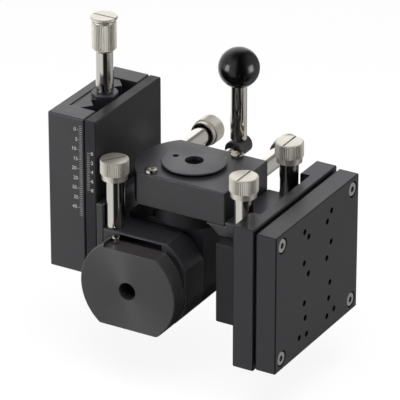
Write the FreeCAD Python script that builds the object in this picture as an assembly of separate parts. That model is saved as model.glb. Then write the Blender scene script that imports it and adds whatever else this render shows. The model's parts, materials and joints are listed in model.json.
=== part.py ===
import FreeCAD, Part
import math
import os

os.makedirs("parts", exist_ok=True)

V = FreeCAD.Vector

# Sizes in millimetres. X runs from the mounting face to the camera plate, Y to the far side, Z up.
# The origin is the middle of the mounting face.
BEVEL = 0.5
RUN = 0.05
GAP = 0.3

# Z stage
STAGE_W = 60.0
STAGE_H = 80.0
BODY_D = 19.5
BODY_SPLIT = 1.5
SLIDER_T = 5.0
BACK_T = 5.0
LEG_W = 11.0
MOUNT_Y = 50.0
MOUNT_Z = 60.0
MOUNT_R = 2.5
FEED_X = 13.0
END_H = 7.0
END_D = 9.5
END_SLIT = 0.9
COLLAR_R = 6.4
COLLAR_H = 10.5
FEED_R = 4.2
FEED_CORE_R = 3.0
FEED_CORE_LEN = 68.0
FEED_SHAFT_LEN = 21.0
KNOB_R = 5.3
KNOB_LEN = 14.0
KNOB_RIM_R = 6.5
KNOB_RIM_H = 3.2
RAIL_W = 3.6
RAIL_TOP = 10.0
RIB_IN = 9.0
RIB_W = 3.5
RIB_TOP = 20.0
NUT_W = 16.0
NUT_H = 12.0

# Pitch module
PITCH_X = 49.0
PITCH_Z = -37.0
PITCH_FACE_Y = -41.0
PITCH_FLANGE_R = 25.5
PITCH_FLANGE_T = 9.7
PITCH_FLAT = 20.0
PITCH_FLAT_LEFT = 12.6
PITCH_HOLE_R = 4.5
PITCH_BLOCK_NEAR = -31.0
PITCH_BLOCK_T = 17.0
PITCH_BLOCK_TOP = 24.0
PITCH_BLOCK_LOW = 21.0
PITCH_BLOCK_R = 28.5
PITCH_SHAFT_R = 10.0
SLOT_H = 3.6
SLOT_DEEP = 8.0
SLOT_LEFT = 9.5
SLOT_RIGHT = 13.0
SLOT_LIP = 0.9
BRACKET_T = 4.0
BRACKET_NEAR = -30.5
BRACKET_FAR = 12.0
BRACKET_TOP = -1.0
PIN_R = 2.0
PIN_H = 3.0
PIN_X = 10.3
PIN_Y = -33.4
CARRIER_FAR = 5.0
CARRIER_LEFT = 34.0
CARRIER_RIB_FAR = 16.0
CARRIER_RIB_RISE = 4.0
ARM_REACH = 18.6
ARM_W = 5.0
ARM_H = 5.0
PITCH_ADJ_X = 33.2
PITCH_ADJ_Y = -25.0

# Yaw module
YAW_X = 61.5
YAW_BLOCK_LOW = -1.8
YAW_BLOCK_TOP = 15.0
YAW_BLOCK_W = 41.0
YAW_BLOCK_R = 28.0
YAW_BASE_R = 26.0
YAW_BASE_LOW = -9.8
YAW_SHAFT_R = 10.0
YAW_HOLE_R = 4.5
CAP_R = 15.5
CAP_TOP = 17.0
CAP_PIN_R = 1.5
CAP_PIN_X = 10.0
YAW_ADJ_Z = 6.8
ADJ_ARM = 21.6
BAR_W = 6.0
BAR_REACH = 24.0
POCKET_W = 12.4
POCKET_ROOF = 4.0
CLAMP_SCREW_R = 3.0
CLAMP_SCREW_X = 13.4
CLAMP_SCREW_Y = 17.2
CLAMP_SCREW_H = 1.6
CLAMP_SCREW_KEY = 1.5

# Clamp lever
STUD_R = 4.0
HUB_R = 7.0
HUB_NEAR = 36.5
HUB_LEN = 11.5
ROD_R = 4.0
BALL_R = 10.0
BALL_Z = 48.0

# Roll module
ROLL_Z = -25.5
ARM_RIGHT = 93.5
ARM_NOTCH_Z = 0.4
ROLL_LEFT = 89.0
ROLL_T = 15.4
ROLL_W = 56.0
ROLL_TOP = -7.4
ROLL_LOW = -48.0
ROLL_ADJ_X = 100.2
ROLL_SHAFT_R = 9.0
ROLL_FLANGE_R = 23.0
ROLL_BAR_H = 6.0
BACK_PLATE_T = 11.0
BACK_WEB_T = 5.7
BACK_LEG_W = 16.0
BACK_HALF_H = 36.3
SHIM_T = 1.2
SHIM_IN = 2.0
PLATE_W = 80.0
PLATE_H = 70.0
PLATE_T = 10.5
PLATE_HOLE_R = 1.5
PLATE_HOLE_DEEP = 8.0
PLATE_SCREW_Y = 34.0
PLATE_SCREW_Z = 29.0
PLATE_CB_R = 4.0
PLATE_CB_DEEP = 4.3
SCREW_R = 3.5
SCREW_H = 4.0
SCREW_KEY = 1.6
SCREW_SHANK_R = 2.0

# Fine adjusters
BUSH_R = 4.6
BUSH_LEN = 26.0
HEAD_R = 6.6
HEAD_LEN = 10.0
HEAD_OVER = 1.5
HEAD_SKIRT = 4.0
SPINDLE_R = 2.5
TIP_R = 2.0
HEAD_SLOT_W = 0.9
HEAD_SLOT_DEEP = 1.0
HEAD_RING_R = 6.2

# Pairs of small holes of the camera plate: half distance across, height above the plate's middle.
PLATE_HOLES = ((13.0, 27.0), (9.0, 23.0), (13.0, 11.0), (9.0, 4.0),
               (12.5, -10.0), (11.5, -18.0), (17.0, -26.0), (10.0, -27.0))

SLIDER_BACK = BODY_D + BODY_SPLIT
SLIDER_FRONT = SLIDER_BACK + SLIDER_T
PITCH_BLOCK_FAR = PITCH_BLOCK_NEAR + PITCH_BLOCK_T
PITCH_TOP_Z = PITCH_Z + PITCH_BLOCK_TOP
PITCH_LOW_Z = PITCH_Z - PITCH_BLOCK_LOW
YAW_NEAR = -YAW_BLOCK_W / 2
YAW_FAR = YAW_BLOCK_W / 2
ROLL_RIGHT = ROLL_LEFT + ROLL_T
PLATE_FRONT = ROLL_RIGHT + 0.4 + BACK_PLATE_T + SHIM_T + PLATE_T
PLATE_BACK = PLATE_FRONT - PLATE_T
BACK_PLATE_FRONT = PLATE_BACK - SHIM_T
BACK_PLATE_BACK = BACK_PLATE_FRONT - BACK_PLATE_T
AXES = {"x": V(1, 0, 0), "y": V(0, 1, 0), "z": V(0, 0, 1)}


def box(x0, x1, y0, y1, z0, z1):
    return Part.makeBox(x1 - x0, y1 - y0, z1 - z0, V(x0, y0, z0))


def block(x0, x1, y0, y1, z0, z1, bevel=BEVEL):
    """Box with all its edges broken."""
    solid = box(x0, x1, y0, y1, z0, z1)
    return solid.makeChamfer(bevel, solid.Edges)


def rod(axis, centre, radius, start, end):
    """Cylinder along an axis; centre gives the two other coordinates in order."""
    first, second = centre
    base = {"x": V(start, first, second), "y": V(first, start, second), "z": V(first, second, start)}[axis]
    return Part.makeCylinder(radius, end - start, base, AXES[axis])


def disc(axis, centre, radius, start, end, bevel=BEVEL):
    """Cylinder with both rims broken."""
    solid = rod(axis, centre, radius, start, end)
    rims = [edge for edge in solid.Edges if isinstance(edge.Curve, Part.Circle)]
    return solid.makeChamfer(bevel, rims)


def prism_y(points, y0, y1):
    """Profile of (x, z) points drawn along Y."""
    corners = [V(x, y0, z) for x, z in points]
    return Part.Face(Part.makePolygon(corners + corners[:1])).extrude(V(0, y1 - y0, 0))


def prism_z(points, z0, z1):
    """Profile of (x, y) points drawn along Z."""
    corners = [V(x, y, z0) for x, y in points]
    return Part.Face(Part.makePolygon(corners + corners[:1])).extrude(V(0, 0, z1 - z0))


def hexagon(axis, centre, across, start, end):
    """Hexagonal socket; across is the distance from the middle to a corner."""
    first, second = centre
    points = []
    for step in range(6):
        turn = math.radians(60 * step)
        a = first + across * math.cos(turn)
        b = second + across * math.sin(turn)
        points.append(V(start, a, b) if axis == "x" else V(a, b, start))
    face = Part.Face(Part.makePolygon(points + points[:1]))
    return face.extrude(AXES[axis] * (end - start))


def group(shapes):
    return Part.makeCompound(list(shapes))


def save(name, shape):
    shape.exportStep("parts/" + name + ".step")


def stage_body():
    half_w = STAGE_W / 2
    half_h = STAGE_H / 2
    inner = half_w - LEG_W
    body = block(0, BODY_D, -half_w, half_w, -half_h, half_h)
    body = body.cut(box(BACK_T, BODY_D + 1, -inner, inner, -half_h - 1, half_h + 1))
    for y in (-MOUNT_Y / 2, MOUNT_Y / 2):
        for z in (-MOUNT_Z / 2, MOUNT_Z / 2):
            body = body.cut(rod("x", (y, z), MOUNT_R, -1, 12.0))
    return body


def end_block():
    half = STAGE_W / 2 - LEG_W - END_SLIT
    top = STAGE_H / 2
    front = BACK_T + END_D
    notch = END_D * 0.45
    points = [(BACK_T, -half), (front - notch, -half), (front, -half * 0.72), (front - notch, -half * 0.45),
              (front, -half * 0.2), (front, half * 0.2), (front - notch, half * 0.45),
              (front, half * 0.72), (front - notch, half), (BACK_T, half)]
    solid = prism_z(points, top - END_H, top - BEVEL)
    collar = disc("z", (FEED_X, 0), COLLAR_R, top - COLLAR_H, top + 1.4, 0.4)
    solid = solid.fuse(collar).removeSplitter()
    return solid.cut(rod("z", (FEED_X, 0), FEED_CORE_R + RUN, top - COLLAR_H - 1, top + 3))


def body_rails():
    inner = STAGE_W / 2 - LEG_W
    low = -STAGE_H / 2 + 2.0
    high = STAGE_H / 2 - RAIL_TOP
    return group(box(SLIDER_BACK - 6.0, BODY_D - 0.4, side * inner - (RAIL_W if side > 0 else 0),
                     side * inner + (0 if side > 0 else RAIL_W), low, high) for side in (-1, 1))


def slider_plate():
    half_w = STAGE_W / 2
    half_h = STAGE_H / 2
    plate = block(SLIDER_BACK, SLIDER_FRONT, -half_w, half_w, -half_h, half_h)
    for side in (-1, 1):
        near = min(side * RIB_IN, side * (RIB_IN + RIB_W))
        rib = box(SLIDER_BACK - 6.0, SLIDER_BACK + 0.5, near, near + RIB_W, 2.0 - half_h, RIB_TOP)
        plate = plate.fuse(rib)
    return plate.removeSplitter()


def slider_rails():
    start = RIB_IN + RIB_W
    end = STAGE_W / 2 - LEG_W - RAIL_W - GAP
    low = 2.0 - STAGE_H / 2
    return group(box(SLIDER_BACK - 6.0, SLIDER_BACK - 1.9, min(side * start, side * end),
                     max(side * start, side * end), low, RIB_TOP) for side in (-1, 1))


def feed_nut():
    half = NUT_W / 2
    nut = block(FEED_X - 6.5, SLIDER_BACK, -half, half, -NUT_H / 2, NUT_H / 2, 0.4)
    return nut.cut(rod("z", (FEED_X, 0), FEED_CORE_R + RUN, -NUT_H, NUT_H))


def feed_screw():
    top = STAGE_H / 2 + 1.4 + GAP
    shaft = disc("z", (FEED_X, 0), FEED_R, top, top + FEED_SHAFT_LEN, 0.4)
    core = rod("z", (FEED_X, 0), FEED_CORE_R, top - FEED_CORE_LEN, top + 1)
    return shaft.fuse(core).removeSplitter()


def feed_knob():
    low = STAGE_H / 2 + 1.4 + GAP + FEED_SHAFT_LEN
    middle = low + KNOB_LEN
    body = disc("z", (FEED_X, 0), KNOB_R, low, middle, 0.7)
    rim = disc("z", (FEED_X, 0), KNOB_RIM_R, middle - 0.01, middle + KNOB_RIM_H, 0.5)
    knob = body.fuse(rim).removeSplitter()
    top = middle + KNOB_RIM_H
    slot = box(FEED_X - KNOB_RIM_R - 1, FEED_X + KNOB_RIM_R + 1, -HEAD_SLOT_W / 2, HEAD_SLOT_W / 2,
               top - HEAD_SLOT_DEEP, top + 1)
    return knob.cut(slot)


def bracket():
    plate = block(SLIDER_FRONT, SLIDER_FRONT + BRACKET_T, BRACKET_NEAR, BRACKET_FAR, PITCH_LOW_Z, BRACKET_TOP)
    groove = rod("z", (PITCH_ADJ_X, PITCH_ADJ_Y), BUSH_R + GAP, PITCH_TOP_Z, BRACKET_TOP + 1)
    return plate.cut(groove)


def pitch_block():
    left = SLIDER_FRONT + BRACKET_T
    right = PITCH_X + PITCH_BLOCK_R
    solid = block(left, right, PITCH_BLOCK_NEAR, PITCH_BLOCK_FAR, PITCH_LOW_Z, PITCH_TOP_Z)
    axis = (PITCH_X, PITCH_Z)
    round_end = disc("y", axis, PITCH_BLOCK_R, PITCH_BLOCK_NEAR, PITCH_BLOCK_FAR)
    fill = box(left - 1, PITCH_X, PITCH_BLOCK_NEAR - 1, PITCH_BLOCK_FAR + 1, PITCH_LOW_Z - 1, PITCH_TOP_Z + 1)
    solid = solid.common(round_end.fuse(fill))
    solid = solid.cut(rod("y", axis, PITCH_SHAFT_R + RUN, PITCH_BLOCK_NEAR - 1, PITCH_BLOCK_FAR + 1))
    slot_top = PITCH_TOP_Z - SLOT_LIP
    solid = solid.cut(box(PITCH_X - SLOT_LEFT, PITCH_X + SLOT_RIGHT, PITCH_BLOCK_NEAR - 1,
                          PITCH_BLOCK_NEAR + SLOT_DEEP, slot_top - SLOT_H, slot_top))
    reach = ARM_REACH + 2.4
    play = ARM_H / 2 + 2.2
    mid = (PITCH_BLOCK_NEAR + PITCH_BLOCK_FAR) / 2 - 2.5
    half = ARM_W / 2 + GAP
    solid = solid.cut(box(PITCH_X - reach, PITCH_X, mid - half, mid + half, PITCH_Z - play, PITCH_Z + play))
    bore = rod("z", (PITCH_ADJ_X, PITCH_ADJ_Y), SPINDLE_R + RUN, PITCH_Z, PITCH_TOP_Z + 1)
    return solid.cut(bore)


def pitch_flange():
    far = PITCH_FACE_Y + PITCH_FLANGE_T
    axis = (PITCH_X, PITCH_Z)
    flange = disc("y", axis, PITCH_FLANGE_R, PITCH_FACE_Y, far)
    wide = PITCH_FLANGE_R + 1
    bottom = box(PITCH_X - wide, PITCH_X + wide, PITCH_FACE_Y - 1, far + 1, PITCH_Z - wide, PITCH_Z - PITCH_FLAT)
    top = box(PITCH_X - PITCH_FLAT_LEFT, PITCH_X + wide, PITCH_FACE_Y - 1, far + 1,
              PITCH_Z + PITCH_FLAT, PITCH_Z + wide)
    flange = flange.cut(bottom).cut(top)
    return flange.cut(rod("y", axis, PITCH_HOLE_R, PITCH_FACE_Y - 1, far + 1))


def pitch_shaft():
    start = PITCH_FACE_Y + PITCH_FLANGE_T
    axis = (PITCH_X, PITCH_Z)
    shaft = rod("y", axis, PITCH_SHAFT_R, start, PITCH_BLOCK_FAR + GAP)
    mid = (PITCH_BLOCK_NEAR + PITCH_BLOCK_FAR) / 2 - 2.5
    arm = box(PITCH_X - ARM_REACH, PITCH_X - PITCH_SHAFT_R / 2, mid - ARM_W / 2, mid + ARM_W / 2,
              PITCH_Z - ARM_H / 2, PITCH_Z + ARM_H / 2)
    shaft = shaft.fuse(arm).removeSplitter()
    return shaft.cut(rod("y", axis, PITCH_HOLE_R, start - 1, PITCH_BLOCK_FAR + 2))


def pitch_pin():
    low = PITCH_Z + PITCH_FLAT
    return disc("z", (PITCH_X - PIN_X, PIN_Y), PIN_R, low, low + PIN_H, 0.4)


def pitch_carrier():
    near = PITCH_BLOCK_FAR + GAP
    right = PITCH_X + PITCH_BLOCK_R
    top = YAW_BASE_LOW
    web = block(CARRIER_LEFT, right, near, CARRIER_FAR, PITCH_LOW_Z, top)
    rib = block(PITCH_X, right, CARRIER_FAR - 1, CARRIER_RIB_FAR, PITCH_LOW_Z + CARRIER_RIB_RISE, top)
    corner = disc("y", (PITCH_X, PITCH_Z), PITCH_BLOCK_R, near, CARRIER_RIB_FAR)
    keep = corner.fuse(box(CARRIER_LEFT - 1, PITCH_X, near - 1, CARRIER_RIB_FAR + 1, PITCH_LOW_Z - 1, top + 1))
    keep = keep.fuse(box(PITCH_X - 1, right + 1, near - 1, CARRIER_RIB_FAR + 1, PITCH_Z, top + 1))
    return web.fuse(rib).removeSplitter().common(keep)


def yaw_base():
    base = disc("z", (YAW_X, 0), YAW_BASE_R, YAW_BASE_LOW, YAW_BLOCK_LOW - GAP)
    return base


def yaw_bar_span():
    """Height range of the reaction bar inside the yaw block."""
    return YAW_ADJ_Z - BAR_W / 2, YAW_ADJ_Z + BAR_W / 2 - 0.2


def yaw_shaft():
    low, high = yaw_bar_span()
    shaft = rod("z", (YAW_X, 0), YAW_SHAFT_R, YAW_BLOCK_LOW - GAP, YAW_BLOCK_TOP + GAP)
    bar = box(YAW_X - BAR_REACH, YAW_X + BAR_REACH, -BAR_W / 2, BAR_W / 2, low, high)
    shaft = shaft.fuse(bar).removeSplitter()
    return shaft.cut(rod("z", (YAW_X, 0), YAW_HOLE_R, YAW_BLOCK_LOW - 1, YAW_BLOCK_TOP + 2))


def yaw_cap():
    low = YAW_BLOCK_TOP + GAP
    cap = disc("z", (YAW_X, 0), CAP_R, low, CAP_TOP, 0.3)
    cap = cap.cut(rod("z", (YAW_X, 0), YAW_HOLE_R, low - 1, CAP_TOP + 1))
    return cap.cut(rod("z", (YAW_X - CAP_PIN_X, 0), CAP_PIN_R, low - 1, CAP_TOP + 1))


def yaw_block():
    right = YAW_X + YAW_BLOCK_R
    solid = block(YAW_X - YAW_BLOCK_R - 1, right, YAW_NEAR, YAW_FAR, YAW_BLOCK_LOW, YAW_BLOCK_TOP)
    keep = disc("z", (YAW_X, 0), YAW_BLOCK_R, YAW_BLOCK_LOW, YAW_BLOCK_TOP)
    keep = keep.fuse(box(YAW_X, right + 1, YAW_NEAR - 1, YAW_FAR + 1, YAW_BLOCK_LOW, YAW_BLOCK_TOP))
    solid = solid.common(keep)
    solid = solid.cut(rod("z", (YAW_X, 0), YAW_SHAFT_R + RUN, YAW_BLOCK_LOW - 1, YAW_BLOCK_TOP + 1))
    reach = BAR_REACH + 1.0
    solid = solid.cut(box(YAW_X - reach, YAW_X + reach, -POCKET_W / 2, POCKET_W / 2,
                          YAW_BLOCK_LOW - 1, YAW_BLOCK_TOP - POCKET_ROOF))
    for side in (-1, 1):
        solid = solid.cut(rod("y", (YAW_X + side * ADJ_ARM, YAW_ADJ_Z), SPINDLE_R + RUN, 0, YAW_FAR + 1))
        solid = solid.cut(rod("z", (YAW_X + side * CLAMP_SCREW_X, side * CLAMP_SCREW_Y), 1.5,
                              YAW_BLOCK_TOP - 8, YAW_BLOCK_TOP + 1))
    return solid


def clamp_screws():
    solids = []
    for side in (-1, 1):
        centre = (YAW_X + side * CLAMP_SCREW_X, side * CLAMP_SCREW_Y)
        top = YAW_BLOCK_TOP + CLAMP_SCREW_H
        screw = disc("z", centre, CLAMP_SCREW_R, YAW_BLOCK_TOP, top, 0.3)
        screw = screw.fuse(rod("z", centre, 1.5, YAW_BLOCK_TOP - 7, YAW_BLOCK_TOP + 0.5)).removeSplitter()
        solids.append(screw.cut(hexagon("z", centre, CLAMP_SCREW_KEY, top - 1.2, top + 1)))
    return group(solids)


def arm():
    left = YAW_X + 14.0
    near = YAW_NEAR
    far = YAW_FAR
    right = YAW_X + YAW_BLOCK_R
    upper = block(right, ARM_RIGHT, near, far, ROLL_TOP, ARM_NOTCH_Z)
    lower = block(left, right + 1, near, far, ROLL_TOP, YAW_BLOCK_LOW)
    solid = upper.fuse(lower)
    hollow_r = 3.2 * (YAW_BLOCK_LOW - ROLL_TOP)
    hollow = rod("y", (right + 1 - hollow_r, ROLL_TOP - hollow_r * 0.62), hollow_r, near - 1, far + 1)
    solid = solid.cut(hollow)
    clear = rod("z", (YAW_X, 0), YAW_BASE_R + 1.5, ROLL_TOP - 1, YAW_BLOCK_LOW + 0.01)
    return solid.cut(clear).removeSplitter()


def roll_block():
    half = ROLL_W / 2
    solid = block(ROLL_LEFT, ROLL_RIGHT, -half, half, ROLL_LOW, ROLL_TOP)
    slope = 9.0
    corner = prism_wedge(half, slope)
    solid = solid.cut(corner)
    solid = solid.cut(rod("x", (0, ROLL_Z), ROLL_SHAFT_R + RUN, ROLL_LEFT - 1, ROLL_RIGHT + 1))
    pocket_near = ROLL_ADJ_X - BAR_W / 2 - GAP
    rise = ROLL_BAR_H / 2 + 3.0
    solid = solid.cut(box(pocket_near, ROLL_RIGHT + 1, -BAR_REACH - 1, BAR_REACH + 1, ROLL_Z - rise, ROLL_Z + rise))
    for side in (-1, 1):
        solid = solid.cut(rod("z", (ROLL_ADJ_X, side * ADJ_ARM), SPINDLE_R + RUN, ROLL_Z, ROLL_TOP + 1))
    return solid


def prism_wedge(half, slope):
    """Wedge that takes the lower far corner off the roll block."""
    points = [V(ROLL_LEFT - 1, half - slope, ROLL_LOW - 1), V(ROLL_LEFT - 1, half + 1, ROLL_LOW - 1),
              V(ROLL_LEFT - 1, half + 1, ROLL_LOW + slope)]
    face = Part.Face(Part.makePolygon(points + points[:1]))
    return face.extrude(V(ROLL_T + 2, 0, 0))


def roll_shaft():
    shaft = rod("x", (0, ROLL_Z), ROLL_SHAFT_R, ROLL_LEFT + GAP, BACK_PLATE_BACK + GAP)
    bar = box(ROLL_ADJ_X - BAR_W / 2, ROLL_ADJ_X + BAR_W / 2, -BAR_REACH, BAR_REACH,
              ROLL_Z - ROLL_BAR_H / 2, ROLL_Z + ROLL_BAR_H / 2)
    return shaft.fuse(bar).removeSplitter()


def roll_flange():
    return disc("x", (0, ROLL_Z), ROLL_FLANGE_R, BACK_PLATE_BACK + GAP, BACK_PLATE_FRONT - BACK_WEB_T, 0.4)


def back_plate():
    half = PLATE_W / 2
    low = ROLL_Z - BACK_HALF_H
    high = ROLL_Z + BACK_HALF_H
    plate = block(BACK_PLATE_BACK, BACK_PLATE_FRONT, -half, half, low, high)
    inner = half - BACK_LEG_W
    return plate.cut(box(BACK_PLATE_BACK - 1, BACK_PLATE_FRONT - BACK_WEB_T, -inner, inner, low - 1, high + 1))


def shim_plate():
    half = PLATE_W / 2 - SHIM_IN
    rise = PLATE_H / 2 - SHIM_IN
    return box(BACK_PLATE_FRONT, PLATE_BACK, -half, half, ROLL_Z - rise, ROLL_Z + rise)


def camera_plate():
    half = PLATE_W / 2
    rise = PLATE_H / 2
    plate = block(PLATE_BACK, PLATE_FRONT, -half, half, ROLL_Z - rise, ROLL_Z + rise)
    for across, up in PLATE_HOLES:
        for side in (-1, 1):
            plate = plate.cut(rod("x", (side * across, ROLL_Z + up), PLATE_HOLE_R,
                                  PLATE_FRONT - PLATE_HOLE_DEEP, PLATE_FRONT + 1))
    for y, z in plate_screw_places():
        plate = plate.cut(rod("x", (y, z), PLATE_CB_R, PLATE_FRONT - PLATE_CB_DEEP, PLATE_FRONT + 1))
        plate = plate.cut(rod("x", (y, z), SCREW_SHANK_R + 0.02, PLATE_BACK - 1, PLATE_FRONT))
    return plate


def plate_screw_places():
    return [(sy * PLATE_SCREW_Y, ROLL_Z + sz * PLATE_SCREW_Z) for sy in (-1, 1) for sz in (-1, 1)]


def plate_screws():
    solids = []
    seat = PLATE_FRONT - PLATE_CB_DEEP
    for centre in plate_screw_places():
        screw = disc("x", centre, SCREW_R, seat, seat + SCREW_H, 0.3)
        screw = screw.fuse(rod("x", centre, SCREW_SHANK_R, PLATE_BACK, seat + 0.5)).removeSplitter()
        solids.append(screw.cut(hexagon("x", centre, SCREW_KEY, seat + SCREW_H - 2.0, seat + SCREW_H + 1)))
    return group(solids)


def bushing():
    """Guide bushing of a fine adjuster, standing on the origin along Z."""
    sleeve = disc("z", (0, 0), BUSH_R, 0, BUSH_LEN, 0.3)
    return sleeve.cut(rod("z", (0, 0), SPINDLE_R + RUN, -1, BUSH_LEN + 1))


def head():
    """Knurled head: hollow skirt below, two rings and a screwdriver slot on top."""
    low = BUSH_LEN - HEAD_OVER
    top = low + HEAD_LEN
    profile = [(BUSH_R + 0.2, low), (HEAD_R - 1.0, low), (HEAD_RING_R, low + 0.9), (HEAD_RING_R, low + 2.2),
               (HEAD_R, low + 2.4), (HEAD_R, top - 0.6), (HEAD_R - 0.6, top), (SPINDLE_R - 0.5, top),
               (SPINDLE_R - 0.5, low + HEAD_SKIRT), (BUSH_R + 0.2, low + HEAD_SKIRT)]
    corners = [V(x, 0, z) for x, z in profile]
    solid = Part.Face(Part.makePolygon(corners + corners[:1])).revolve(V(0, 0, 0), AXES["z"], 360)
    solid = Part.makeSolid(solid) if solid.ShapeType == "Shell" else solid
    hole = rod("x", (0, low + 1.6), 0.8, BUSH_R, HEAD_R + 1)
    slot = box(-HEAD_R - 1, HEAD_R + 1, -HEAD_SLOT_W / 2, HEAD_SLOT_W / 2, top - HEAD_SLOT_DEEP, top + 1)
    return solid.cut(slot).cut(hole)


def spindle(depth):
    """Fine screw from the head down to its tip, which sits the given depth below the seat."""
    top = BUSH_LEN - HEAD_OVER + HEAD_LEN - HEAD_SLOT_DEEP
    low = -depth + 2 * TIP_R + GAP
    neck = BUSH_LEN - HEAD_OVER + HEAD_SKIRT
    screw = rod("z", (0, 0), SPINDLE_R, low, neck)
    return screw.fuse(rod("z", (0, 0), SPINDLE_R - 0.5, neck - 0.5, top)).removeSplitter()


def tip(depth):
    """Ball tip that presses on the reaction piece."""
    return Part.makeSphere(TIP_R, V(0, 0, TIP_R - depth))


def upright(shape, x, y, z):
    moved = shape.copy()
    moved.translate(V(x, y, z))
    return moved


def level(shape, x, y, z):
    """Turn a shape that stands along Z so that it points along Y."""
    moved = shape.copy()
    moved.rotate(V(0, 0, 0), V(1, 0, 0), -90)
    moved.translate(V(x, y, z))
    return moved


def save_adjusters():
    arm_top = PITCH_Z + ARM_H / 2
    pitch_depth = PITCH_TOP_Z - arm_top - GAP
    place = (PITCH_ADJ_X, PITCH_ADJ_Y, PITCH_TOP_Z)
    save("pitch_bushing", upright(bushing(), *place))
    save("pitch_head", upright(head(), *place))
    save("pitch_spindle", upright(spindle(pitch_depth), *place))
    save("pitch_tip", upright(tip(pitch_depth), *place))
    yaw_depth = YAW_FAR - BAR_W / 2 - GAP
    roll_depth = ROLL_TOP - ROLL_Z - ROLL_BAR_H / 2 - GAP
    yaw_places = {}
    roll_places = {}
    for letter, side in (("a", -1), ("b", 1)):
        yaw_places[letter] = (YAW_X + side * ADJ_ARM, YAW_FAR, YAW_ADJ_Z)
        roll_places[letter] = (ROLL_ADJ_X, side * ADJ_ARM, ROLL_TOP)
    for letter in "ab":
        save("yaw_head_" + letter, level(head(), *yaw_places[letter]))
        save("yaw_spindle_" + letter, level(spindle(yaw_depth), *yaw_places[letter]))
        save("yaw_tip_" + letter, level(tip(yaw_depth), *yaw_places[letter]))
        save("roll_head_" + letter, upright(head(), *roll_places[letter]))
        save("roll_spindle_" + letter, upright(spindle(roll_depth), *roll_places[letter]))
        save("roll_tip_" + letter, upright(tip(roll_depth), *roll_places[letter]))
    save("yaw_bushings", group(level(bushing(), *yaw_places[letter]) for letter in "ab"))
    save("roll_bushings", group(upright(bushing(), *roll_places[letter]) for letter in "ab"))


def save_lever():
    centre = (YAW_X, YAW_ADJ_Z)
    hub_mid = HUB_NEAR + HUB_LEN / 2
    far = HUB_NEAR + HUB_LEN
    save("clamp_stud", rod("y", centre, STUD_R, YAW_FAR, far - 2.0))
    hub = disc("y", centre, HUB_R, HUB_NEAR, far, 0.6)
    hub = hub.cut(rod("y", centre, STUD_R + RUN, HUB_NEAR - 1, far - 2.0 + GAP))
    save("lever_hub", hub)
    seat = YAW_ADJ_Z + HUB_R - 0.9
    save("lever_rod", rod("z", (YAW_X, hub_mid), ROD_R, seat + 0.9, BALL_Z - BALL_R * 0.8))
    ball = Part.makeSphere(BALL_R, V(YAW_X, hub_mid, BALL_Z))
    flat = box(YAW_X - BALL_R, YAW_X + BALL_R, hub_mid - BALL_R, hub_mid + BALL_R,
               BALL_Z - BALL_R - 1, BALL_Z - BALL_R * 0.8)
    save("lever_ball", ball.cut(flat))


def main():
    makers = (stage_body, end_block, body_rails, slider_plate, slider_rails, feed_nut, feed_screw, feed_knob,
              bracket, pitch_block, pitch_flange, pitch_shaft, pitch_pin, pitch_carrier, yaw_base, yaw_shaft,
              yaw_cap, yaw_block, clamp_screws, arm, roll_block, roll_shaft, roll_flange, back_plate,
              shim_plate, camera_plate, plate_screws)
    for maker in makers:
        save(maker.__name__, maker())
    save_adjusters()
    save_lever()


main()
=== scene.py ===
import json
import logging
import math
from dataclasses import dataclass
from enum import Enum
from typing import Callable

import bpy
from bpy.types import Material, Node, NodeSocket, NodeTree, Object
from mathutils import Matrix, Vector


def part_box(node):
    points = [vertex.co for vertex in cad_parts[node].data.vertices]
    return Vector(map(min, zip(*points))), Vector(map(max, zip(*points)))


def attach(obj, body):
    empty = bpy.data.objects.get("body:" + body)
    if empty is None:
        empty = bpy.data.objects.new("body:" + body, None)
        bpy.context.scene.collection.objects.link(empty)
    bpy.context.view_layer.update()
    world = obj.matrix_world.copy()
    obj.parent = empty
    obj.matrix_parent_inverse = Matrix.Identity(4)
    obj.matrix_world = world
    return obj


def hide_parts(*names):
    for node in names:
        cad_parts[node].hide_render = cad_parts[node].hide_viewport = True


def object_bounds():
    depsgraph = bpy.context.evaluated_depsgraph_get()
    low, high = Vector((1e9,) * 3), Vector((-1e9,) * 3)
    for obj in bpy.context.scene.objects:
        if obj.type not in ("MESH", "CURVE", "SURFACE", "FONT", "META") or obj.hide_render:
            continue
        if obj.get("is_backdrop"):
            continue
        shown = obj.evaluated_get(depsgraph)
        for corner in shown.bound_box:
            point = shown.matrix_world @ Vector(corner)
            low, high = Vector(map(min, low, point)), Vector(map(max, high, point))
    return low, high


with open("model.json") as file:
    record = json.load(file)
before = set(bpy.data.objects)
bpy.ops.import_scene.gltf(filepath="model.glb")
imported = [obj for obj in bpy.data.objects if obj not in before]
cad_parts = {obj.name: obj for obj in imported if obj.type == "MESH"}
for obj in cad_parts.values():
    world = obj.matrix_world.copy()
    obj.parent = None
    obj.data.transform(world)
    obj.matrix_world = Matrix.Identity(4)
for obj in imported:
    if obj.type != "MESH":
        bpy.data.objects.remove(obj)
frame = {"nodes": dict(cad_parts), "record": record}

LOG = logging.getLogger("positioning_stage")
MM = 0.001

# Where the picture was taken from: degrees round and above the object, and millimetres.
VIEW_AZIMUTH = 29.98
VIEW_ELEVATION = 25.98
VIEW_DISTANCE = 1764.7
VIEW_RIGHT = 55.95
VIEW_UP = -16.79
PIXELS_PER_MM = 2.1
IMAGE_PIXELS = 400.0
SENSOR_MM = 36.0
CLIP_RANGE = (0.1, 20.0)

# Edges flatter than this, in degrees, are shaded smooth.
SMOOTH_ANGLE = 32.0
# Corners of the CAD triangles that are closer than this, in metres, are one vertex.
MERGE_DISTANCE = 1e-6

# The Mix node's sockets by number: its inputs for numbers, and its inputs and result for colours.
LEVEL_A, LEVEL_B = 2, 3
COLOUR_A, COLOUR_B, COLOUR_OUT = 6, 7, 2
# Length of one wave of the Wave node at scale 1.
WAVE_LENGTH = 0.314

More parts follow.
